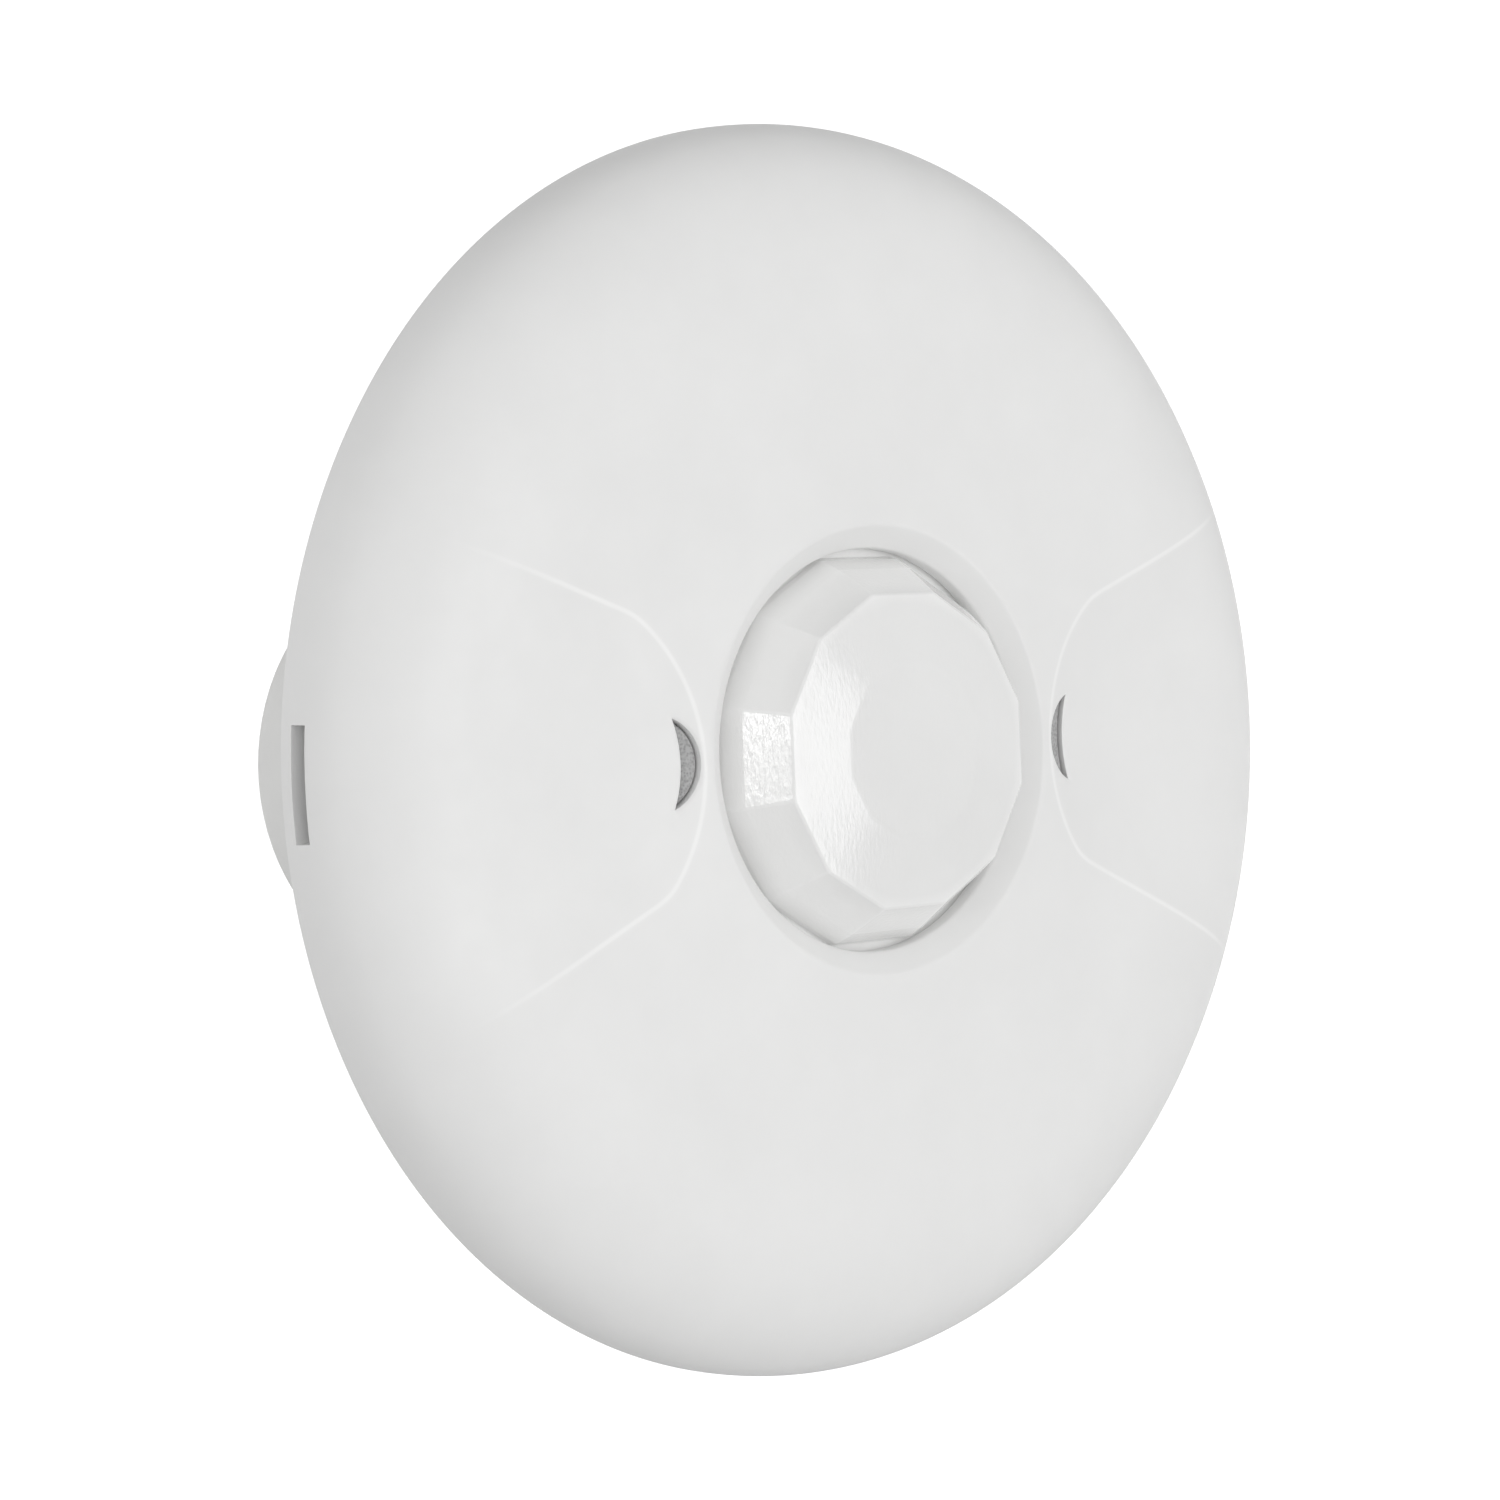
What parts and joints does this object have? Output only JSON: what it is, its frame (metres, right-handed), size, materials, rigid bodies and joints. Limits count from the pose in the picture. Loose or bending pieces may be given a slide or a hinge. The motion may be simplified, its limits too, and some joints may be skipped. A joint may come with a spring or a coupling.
{
  "type": "ceiling motion sensor",
  "caption": "Round ceiling-mount motion and occupancy sensor with a faceted lens, side sound slots, pull-off cover, setting dials and a rear housing for a ceiling box.",
  "frame": {"origin": "middle of the line between the two mounting slots, on the ceiling-side face of the base plate", "axes": "+Y out of the back, into the ceiling box; the lens looks along -Y; the two sound slots lie along X; +Z towards the setting dials"},
  "size_m": [0.114, 0.0407, 0.114],
  "materials": {
    "cover_white": "fine satin moulding",
    "base_white": "satin moulding",
    "lens_milk": "smooth milky polyethylene",
    "tower_black": "matte moulding",
    "board_green": "solder mask over glass laminate",
    "screw_steel": "plated steel",
    "can_metal": "drawn metal can",
    "filter_dark": "dark infrared filter",
    "leg_tin": "tinned wire",
    "spacer_clear": "natural nylon",
    "transducer_metal": "satin aluminium",
    "mesh_grey": "dark woven mesh",
    "boot_rubber": "soft rubber",
    "gasket_foam": "closed-cell foam",
    "screen_foam": "open-cell acoustic foam",
    "cone_resin": "thin cone on a disc",
    "led_red": "tinted clear resin",
    "led_green": "tinted clear resin",
    "photocell_face": "ceramic disc under clear resin",
    "trimmer_white": "satin moulding",
    "dial_blue": "satin moulding",
    "dial_red": "satin moulding",
    "dial_green": "satin moulding",
    "dial_black": "satin moulding",
    "bank_red": "satin moulding",
    "slider_white": "satin moulding",
    "chip_black": "moulded epoxy",
    "chip_tan": "ceramic",
    "relay_blue": "moulded case",
    "can_sleeve": "shrink sleeve",
    "terminal_green": "moulded nylon"
  },
  "bodies": {
    "base": {"amplifier_chips": "chip_black", "base": "base_white", "chip_capacitors": "chip_tan", "chip_leads": "leg_tin", "chip_resistors": "chip_black", "crystal": "can_metal", "electrolytics": "can_sleeve", "green_led": "led_green", "heat_range_trimmer_body": "trimmer_white", "left_transducer_boot": "boot_rubber", "left_transducer_can": "transducer_metal", "left_transducer_gasket": "gasket_foam", "left_transducer_mesh": "mesh_grey", "lens": "lens_milk", "lens_holder": "tower_black", "light_level_trimmer_body": "trimmer_white", "main_pcb": "board_green", "microcontroller": "chip_black", "pcb_screws": "screw_steel", "photocell": "photocell_face", "photocell_leads": "leg_tin", "pir_can": "can_metal", "pir_leads": "leg_tin", "pir_spacer": "spacer_clear", "pir_window": "filter_dark", "red_led": "led_red", "relay": "relay_blue", "relay_pins": "leg_tin", "right_transducer_boot": "boot_rubber", "right_transducer_can": "transducer_metal", "right_transducer_gasket": "gasket_foam", "right_transducer_mesh": "mesh_grey", "sound_range_trimmer_body": "trimmer_white", "switch_bank_left": "bank_red", "switch_bank_right": "bank_red", "switch_pins": "leg_tin", "terminal_block": "terminal_green", "terminal_clamps": "leg_tin", "terminal_screws": "screw_steel", "time_trimmer_body": "trimmer_white", "transducer_cones": "cone_resin", "transducer_pins": "leg_tin"},
    "cover": {"front_cover": "cover_white", "left_sound_screen": "screen_foam", "right_sound_screen": "screen_foam"},
    "time_dial": {"time_dial": "dial_black"},
    "heat_range_dial": {"heat_range_dial": "dial_red"},
    "sound_range_dial": {"sound_range_dial": "dial_green"},
    "light_level_dial": {"light_level_dial": "dial_blue"},
    "switch_left_1": {"switch_left_1": "slider_white"},
    "switch_left_2": {"switch_left_2": "slider_white"},
    "switch_left_3": {"switch_left_3": "slider_white"},
    "switch_left_4": {"switch_left_4": "slider_white"},
    "switch_right_1": {"switch_right_1": "slider_white"},
    "switch_right_2": {"switch_right_2": "slider_white"},
    "switch_right_3": {"switch_right_3": "slider_white"},
    "switch_right_4": {"switch_right_4": "slider_white"}
  },
  "joints": [
    {"name": "cover_pull", "type": "slide", "parent": "base", "child": "cover", "axis": [0, -1, 0], "range_m": [0, 0.045]},
    {"name": "time_turn", "type": "hinge", "parent": "base", "child": "time_dial", "pos_m": [-0.024, -0.01, 0.026], "axis": [0, -1, 0], "range_deg": [-135, 135]},
    {"name": "heat_range_turn", "type": "hinge", "parent": "base", "child": "heat_range_dial", "pos_m": [-0.009, -0.01, 0.029], "axis": [0, -1, 0], "range_deg": [-135, 135]},
    {"name": "sound_range_turn", "type": "hinge", "parent": "base", "child": "sound_range_dial", "pos_m": [0.009, -0.01, 0.029], "axis": [0, -1, 0], "range_deg": [-135, 135]},
    {"name": "light_level_turn", "type": "hinge", "parent": "base", "child": "light_level_dial", "pos_m": [0.024, -0.01, 0.026], "axis": [0, -1, 0], "range_deg": [-135, 135]},
    {"name": "switch_left_1_slide", "type": "slide", "parent": "base", "child": "switch_left_1", "axis": [0, 0, 1], "range_m": [0, 0.002]},
    {"name": "switch_left_2_slide", "type": "slide", "parent": "base", "child": "switch_left_2", "axis": [0, 0, 1], "range_m": [0, 0.002]},
    {"name": "switch_left_3_slide", "type": "slide", "parent": "base", "child": "switch_left_3", "axis": [0, 0, 1], "range_m": [0, 0.002]},
    {"name": "switch_left_4_slide", "type": "slide", "parent": "base", "child": "switch_left_4", "axis": [0, 0, 1], "range_m": [0, 0.002]},
    {"name": "switch_right_1_slide", "type": "slide", "parent": "base", "child": "switch_right_1", "axis": [0, 0, 1], "range_m": [0, 0.002]},
    {"name": "switch_right_2_slide", "type": "slide", "parent": "base", "child": "switch_right_2", "axis": [0, 0, 1], "range_m": [0, 0.002]},
    {"name": "switch_right_3_slide", "type": "slide", "parent": "base", "child": "switch_right_3", "axis": [0, 0, 1], "range_m": [0, 0.002]},
    {"name": "switch_right_4_slide", "type": "slide", "parent": "base", "child": "switch_right_4", "axis": [0, 0, 1], "range_m": [0, 0.002]}
  ]
}
